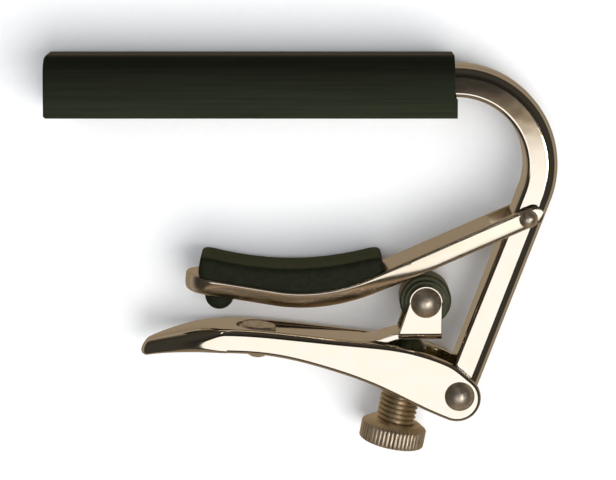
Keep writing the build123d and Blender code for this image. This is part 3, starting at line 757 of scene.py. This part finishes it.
# ---- Neck pad: a soft rubber moulding, hollowed along its top, with its button under the arm ----
PAD_LEFT, PAD_RIGHT = -15.6 * MM, 12.1 * MM
PAD_LENGTH = PAD_RIGHT - PAD_LEFT
PAD_HALF_WIDTH = 4.9 * MM
PAD_CORNER = 1.1 * MM
PAD_TOP_ROUND = 1.0 * MM
PAD_CROWN = 0.12 * MM           # the top's middle lies this much under its rim
PAD_BULGE = 0.05 * MM           # of its sides
PAD_FOOT = 0.25 * MM            # chamfer round its foot
PAD_END_Y = 0.82 * MM
PAD_HOLLOW_Y = -1.3 * MM
PAD_LEAN = 0.25 * MM            # its ends lean in by this at the top


def arm_top_y(x):
    """Height of the arm's top surface under the pad, by bisection along its centreline."""
    low, high = 0.0, ARM_LENGTH
    for _ in range(40):
        middle = (low + high) / 2
        place, up = arm_frame(middle)
        low, high = (middle, high) if (place + up * ARM_HALF).x < x else (low, middle)
    place, up = arm_frame(low)
    return (place + up * ARM_HALF).y


def pad_top_y(x):
    """Height of the pad's top at x: a parabola, lowest in the middle."""
    t = (2 * x - PAD_LEFT - PAD_RIGHT) / PAD_LENGTH
    return PAD_HOLLOW_Y + (PAD_END_Y - PAD_HOLLOW_Y) * t * t


def pad_outline():
    """The near half of the pad's plan, from its left end to its right: (from the left, across)."""
    quarter = np.linspace(0, pi / 2, 8)
    left = [(PAD_CORNER * (1 - cos(a)), PAD_HALF_WIDTH - PAD_CORNER * (1 - sin(a))) for a in quarter]
    straight = [(x, PAD_HALF_WIDTH) for x in np.linspace(PAD_CORNER, PAD_LENGTH - PAD_CORNER, 42)[1:-1]]
    return left + straight + [(PAD_LENGTH - x, z) for x, z in reversed(left)]


def pad_levels():
    """Rings from foot to middle of top: (inset, share of the way to the top, lift over that)."""
    levels = [(PAD_FOOT, 0.0, 0.0), (0.03 * MM, 0.0, PAD_FOOT)]
    levels += [(-PAD_BULGE * sin(pi * t), t, -PAD_TOP_ROUND * t) for t in (0.2, 0.4, 0.6, 0.8)]
    for a in np.linspace(0, pi / 2, 9):
        levels.append((PAD_TOP_ROUND * (1 - cos(a)), 1.0, -PAD_TOP_ROUND * (1 - sin(a))))
    for t in (0.25, 0.5, 0.75, 0.97):
        levels.append((mixed(PAD_TOP_ROUND, PAD_HALF_WIDTH, t), 1.0, -PAD_CROWN * t))
    return levels


def pad_mesh():
    """Rings round the pad from its foot, up its sides, over a rounded rim and in to the middle."""
    rings = []
    for inset, share, lift in pad_levels():
        shorter = 1 - 2 * min(1.7 * inset, 2.2 * PAD_TOP_ROUND) / PAD_LENGTH
        narrower = 1 - inset / PAD_HALF_WIDTH
        near = []
        for x, z in pad_outline():
            across = (x / PAD_LENGTH - 0.5) * shorter
            px = PAD_LEFT + PAD_LENGTH * (0.5 + across) - PAD_LEAN * share * (2 * across) ** 9
            py = mixed(arm_top_y(px), pad_top_y(px), share) + lift
            near.append(Vector((px, py, MID + z * narrower)))
        rings.append(near + mirrored(near))
    return loft("neck_pad_moulding", rings, closed_ends=True)


LATHE_SIDES = 48


def lathe(name, base, axis, profile):
    """Skin of revolution about an axis; the profile lists (height, radius) pairs."""
    axis = axis.normalized()
    side = axis.cross(Vector((0, 0, 1))).normalized()
    up = side.cross(axis)
    turns = [2 * pi * k / LATHE_SIDES for k in range(LATHE_SIDES)]
    rings = [[base + axis * h + (side * cos(a) + up * sin(a)) * r for a in turns] for h, r in profile]
    return loft(name, rings)


BUTTON_X = -12.35 * MM
BUTTON_RADIUS = 2.2 * MM
BUTTON_HEIGHT = 2.45 * MM
BUTTON_RIM = 0.2 * MM           # height of its straight rim


def button_mesh():
    """The pad's button under the arm: a dome on a short rim."""
    place, up = arm_frame((BUTTON_X - ARM_TIP.x) / arm_in.x)
    seat = -ARM_HALF - 0.02 * MM
    profile = [(seat, 0.0), (seat, BUTTON_RADIUS - 0.25 * MM)]
    for a in np.linspace(0, pi / 2, 14):
        below = BUTTON_RIM + (BUTTON_HEIGHT - BUTTON_RIM) * sin(a)
        profile.append((-ARM_HALF - below, BUTTON_RADIUS * cos(a)))
    return lathe("button", place, up, profile)


moulding = joined("neck_pad_moulding", pad_mesh(), button_mesh())
pad = add_piece("neck_pad_moulding", moulding, "neck_pad", PAD_RUBBER)


# ---- Adjusting screw: knurled head, helical thread ----
SCREW_PITCH = 0.75 * MM
SCREW_LENGTH = 13.8 * MM
THREAD_RADIUS = 3.0 * MM
THREAD_DEPTH = 0.42 * MM
THREAD_RUN_OUT = 0.5 * MM       # length over which the thread's end is chamfered
ROWS_PER_TURN = 12
HEAD_RADIUS, HEAD_HEIGHT = 5.0 * MM, 2.7 * MM
HEAD_EDGE = 0.35 * MM
CONE_RADIUS, CONE_HEIGHT = 4.0 * MM, 0.7 * MM
KNURLS = 46
KNURL_DEPTH = 0.13 * MM
SCREW_SIDES = KNURLS * 6


def head_rows():
    """Rows of (height, radius, groove) from the middle of the head's face to the end of its cone."""
    steps = [(0.0, 0.0, 0.0), (0.0, HEAD_RADIUS * 0.55, 0.0), (0.0, HEAD_RADIUS - 2.2 * HEAD_EDGE, 0.0)]
    steps += [(HEAD_EDGE * 0.12, HEAD_RADIUS - HEAD_EDGE, 0.3)]
    steps += [(HEAD_EDGE * 0.5, HEAD_RADIUS - HEAD_EDGE * 0.35, 0.8)]
    for t in (0.0, 0.25, 0.5, 0.75, 0.97):
        steps.append((HEAD_EDGE + (HEAD_HEIGHT - HEAD_EDGE) * t, HEAD_RADIUS, 1.0))
    steps += [(HEAD_HEIGHT + 0.1 * MM, HEAD_RADIUS - 0.08 * MM, 1.0)]
    for t in (0.4, 0.75, 0.95):
        steps.append((HEAD_HEIGHT + CONE_HEIGHT * t, HEAD_RADIUS + (CONE_RADIUS - HEAD_RADIUS) * t, 1 - t))
    steps += [(HEAD_HEIGHT + CONE_HEIGHT, CONE_RADIUS - 0.15 * MM, 0.0)]
    rows = []
    for height, radius, knurled in steps:
        row = []
        for k in range(SCREW_SIDES):
            ridge = abs(2 * ((k * KNURLS / SCREW_SIDES) % 1) - 1)
            notch = KNURL_DEPTH * knurled * (1 - min(1, ridge * 1.6))
            row.append((height, radius - notch, min(1, notch / KNURL_DEPTH)))
        rows.append(row)
    return rows


def thread_rows():
    """Rows of (height, radius, groove) up the shank, whose grooves follow the helix."""
    start = HEAD_HEIGHT + CONE_HEIGHT
    count = int((SCREW_LENGTH - start) / SCREW_PITCH * ROWS_PER_TURN)
    rows = []
    for step in range(count + 1):
        height = start + (SCREW_LENGTH - start) * step / count
        chamfer = 0.45 * MM * (1 - min(1, (SCREW_LENGTH - height) / THREAD_RUN_OUT))
        row = []
        for k in range(SCREW_SIDES):
            crest = abs(2 * ((height / SCREW_PITCH - k / SCREW_SIDES) % 1) - 1)
            groove = min(1, max(0, (1 - crest) * 1.25 - 0.12))
            row.append((height, THREAD_RADIUS - THREAD_DEPTH * groove - chamfer, groove))
        rows.append(row)
    rows.append([(SCREW_LENGTH, 0.5 * MM, 0.3)] * SCREW_SIDES)
    return rows


def screw_mesh():
    """One skin of revolution over the head's and the shank's rows, its grooves kept as an attribute."""
    side = SCREW_AXIS.cross(Vector((0, 0, 1))).normalized()
    up = side.cross(SCREW_AXIS).normalized()
    rows = head_rows() + thread_rows()
    verts, grooves = [], []
    for row in rows:
        for k, (height, radius, groove) in enumerate(row):
            angle = 2 * pi * k / SCREW_SIDES
            out = side * cos(angle) + up * sin(angle)
            verts.append(SCREW_FOOT + SCREW_AXIS * height + out * radius)
            grooves.append(groove)
    mesh = bpy.data.meshes.new("knurled_screw")
    mesh.from_pydata(verts, [], ring_faces(len(rows), SCREW_SIDES))
    attribute = mesh.attributes.new("groove", "FLOAT", "POINT")
    attribute.data.foreach_set("value", grooves)
    weld(mesh)
    mesh.shade_smooth()
    mesh.set_sharp_from_angle(angle=radians(42))
    return mesh


add_piece("knurled_screw", screw_mesh(), "adjusting_screw", SCREW)


# ---- Floor, sweeping up into a pale wall all round ----
FLOOR_SIDES = 64
FLOOR_FLAT = 0.9                # metres; radius of the flat floor
FLOOR_SWEEP = 0.5               # radius of the curve up to the wall
WALL_TOP = 1.4


def sweep_floor():
    """A shallow bowl: flat under the capo, curving up far away, so that every view has a pale ground."""
    profile = [(FLOOR_FLAT, 0.0)]
    for a in np.linspace(0.2, pi / 2, 9):
        profile.append((FLOOR_FLAT + FLOOR_SWEEP * sin(a), FLOOR_SWEEP * (1 - cos(a))))
    profile.append((FLOOR_FLAT + FLOOR_SWEEP, WALL_TOP))
    verts = [(0, 0, 0)]
    turns = [2 * pi * k / FLOOR_SIDES for k in range(FLOOR_SIDES)]
    for radius, height in profile:
        verts += [(radius * cos(a), radius * sin(a), height) for a in turns]
    after = [(k + 1) % FLOOR_SIDES for k in range(FLOOR_SIDES)]
    faces = [(0, 1 + k, 1 + after[k]) for k in range(FLOOR_SIDES)]
    for base in range(1, 1 + (len(profile) - 1) * FLOOR_SIDES, FLOOR_SIDES):
        above = base + FLOOR_SIDES
        faces += [(base + k, above + k, above + after[k], base + after[k]) for k in range(FLOOR_SIDES)]
    mesh = bpy.data.meshes.new("floor")
    mesh.from_pydata(verts, [], faces)
    mesh.shade_smooth()
    return mesh


def pale_paper():
    """Matt paper, nearly white and a little uneven."""
    material, tree, shader = new_material("pale_paper")
    shader.inputs["Roughness"].default_value = 0.95
    shader.inputs["Specular IOR Level"].default_value = 0.1
    tone = noise(tree, place_mm(tree), 0.8, 4.0)
    stops = [(0.3, (0.93, 0.935, 0.95)), (0.7, (0.95, 0.955, 0.965))]
    feed(tree, shader, "Base Color", ramp(tree, tone, stops))
    return material


floor = placed("floor", sweep_floor())
paint(floor, pale_paper())
floor.visible_glossy = False


# ---- Light: a dark warm room above a tan ground, as the plating mirrors it, and soft boxes ----
def light_room():
    """World whose colour goes by direction, from straight down, at 0, to straight up, at 1."""
    world = bpy.data.worlds.new("room")
    bpy.context.scene.world = world
    world.use_nodes = True
    tree = world.node_tree
    direction = node(tree, "ShaderNodeTexCoord").outputs["Generated"]
    height = node(tree, "ShaderNodeSeparateXYZ", {"Vector": direction}).outputs["Z"]
    stops = [
        (0.0, (0.32, 0.255, 0.18)),
        (0.25, (0.29, 0.235, 0.165)),
        (0.36, (0.40, 0.35, 0.29)),
        (0.46, (0.27, 0.235, 0.19)),
        (0.52, (0.10, 0.075, 0.045)),
        (0.60, (0.035, 0.030, 0.022)),
        (0.70, (0.048, 0.044, 0.037)),
        (0.86, (0.048, 0.044, 0.037)),
        (0.94, (0.028, 0.026, 0.021)),
        (1.0, (0.013, 0.012, 0.010)),
    ]
    room = ramp(tree, spread(tree, height, -1, 1, 0, 1), stops)
    background = tree.nodes["Background"]
    tree.links.new(room, background.inputs["Color"])
    background.inputs["Strength"].default_value = 1.0


def facing(place, aim):
    """Placement at place, looking at aim, with its own X axis kept level."""
    back = (Vector(place) - Vector(aim)).normalized()
    across = Vector((0, 1, 0)).cross(back).normalized()
    turn = Matrix((across, back.cross(across), back)).transposed().to_4x4()
    return Matrix.Translation(place) @ turn


def soft_light(name, place, size, power, colour):
    """Light on the capo for the floor and the rubber; the plating mirrors the cards instead."""
    light = bpy.data.lights.new(name, "AREA")
    light.shape = "RECTANGLE"
    light.size, light.size_y = size
    light.energy = power
    light.color = colour
    holder = placed(name, light)
    holder.matrix_world = facing(place, (0, 0, 0))
    holder.visible_glossy = False


def card(name, place, aim, size, brightness, stops):
    """A glowing card that only mirror-like surfaces see, its colours laid from one edge to the other."""
    wide, tall = size[0] / 2, size[1] / 2
    mesh = bpy.data.meshes.new(name)
    corners = [(-wide, -tall, 0), (wide, -tall, 0), (wide, tall, 0), (-wide, tall, 0)]
    mesh.from_pydata(corners, [], [(0, 1, 2, 3)])
    piece = placed(name, mesh)
    piece.matrix_world = facing(place, aim)
    material = bpy.data.materials.new(name)
    material.use_nodes = True
    tree = material.node_tree
    tree.nodes.clear()
    position = node(tree, "ShaderNodeTexCoord").outputs["Object"]
    along = node(tree, "ShaderNodeSeparateXYZ", {"Vector": position}).outputs["Y"]
    colour = ramp(tree, spread(tree, along, -tall, tall, 0, 1), stops)
    glow = node(tree, "ShaderNodeEmission", {"Color": colour, "Strength": brightness})
    node(tree, "ShaderNodeOutputMaterial", {"Surface": glow.outputs["Emission"]})
    paint(piece, material)
    piece.visible_camera = False
    piece.visible_diffuse = False
    piece.visible_shadow = False
    piece.visible_transmission = False


light_room()
soft_light("key", (0.27, -0.2, 0.55), (0.7, 0.6), 5.6, (1.0, 0.99, 0.97))
soft_light("fill", (-0.3, 0.25, 0.7), (0.6, 0.6), 2.4, (0.93, 0.96, 1.0))
WHITE = (1.0, 0.995, 1.0)
white_stops = [
    (0.0, WHITE),
    (0.935, WHITE),
    (0.955, (0.66, 0.58, 0.46)),
    (0.972, (0.26, 0.19, 0.12)),
    (1.0, (0.02, 0.018, 0.012)),
]
tan_stops = [
    (0.0, (1.0, 0.76, 0.54)),
    (0.5, (0.75, 0.54, 0.36)),
    (0.85, (0.06, 0.045, 0.03)),
    (1.0, (0.03, 0.025, 0.02)),
]
card("white_card", (0.0, -0.2215, 0.6), (0.0, -0.2215, 0), (0.5, 0.347), 1.3, white_stops)
card("tan_card", (0.05, -0.55, 0.26), (0, 0, 0), (0.7, 0.34), 0.42, tan_stops)
rivet_stops = [(0.0, (1.0, 0.93, 0.82)), (1.0, (1.0, 0.93, 0.82))]
lamp_stops = [(0.0, (1.0, 0.96, 0.9)), (1.0, (1.0, 0.96, 0.9))]
card("rivet_card", (0.2, -0.06, 0.55), (0, 0, 0), (0.05, 0.05), 60.0, rivet_stops)
card("lamp_card", (-0.13, 0.42, 0.36), (0, 0, 0), (0.03, 0.03), 14.0, lamp_stops)

# ---- Camera: above the capo, tipped a little so that the top of the sleeve shows ----
LENS = 122.1                    # mm
TILT = radians(10.8)
DISTANCE = 0.3152               # metres
AIM = Vector((0.8 * MM, 2.2 * MM, MID))
camera_data = bpy.data.cameras.new("camera")
camera_data.sensor_width = 36
camera_data.lens = LENS
camera_data.clip_start = 0.01
camera = placed("camera", camera_data)
camera.location = AIM + DISTANCE * Vector((0, sin(TILT), cos(TILT)))
camera.rotation_euler = (-TILT, 0, 0)
bpy.context.scene.camera = camera
bpy.context.scene.view_settings.view_transform = "Standard"
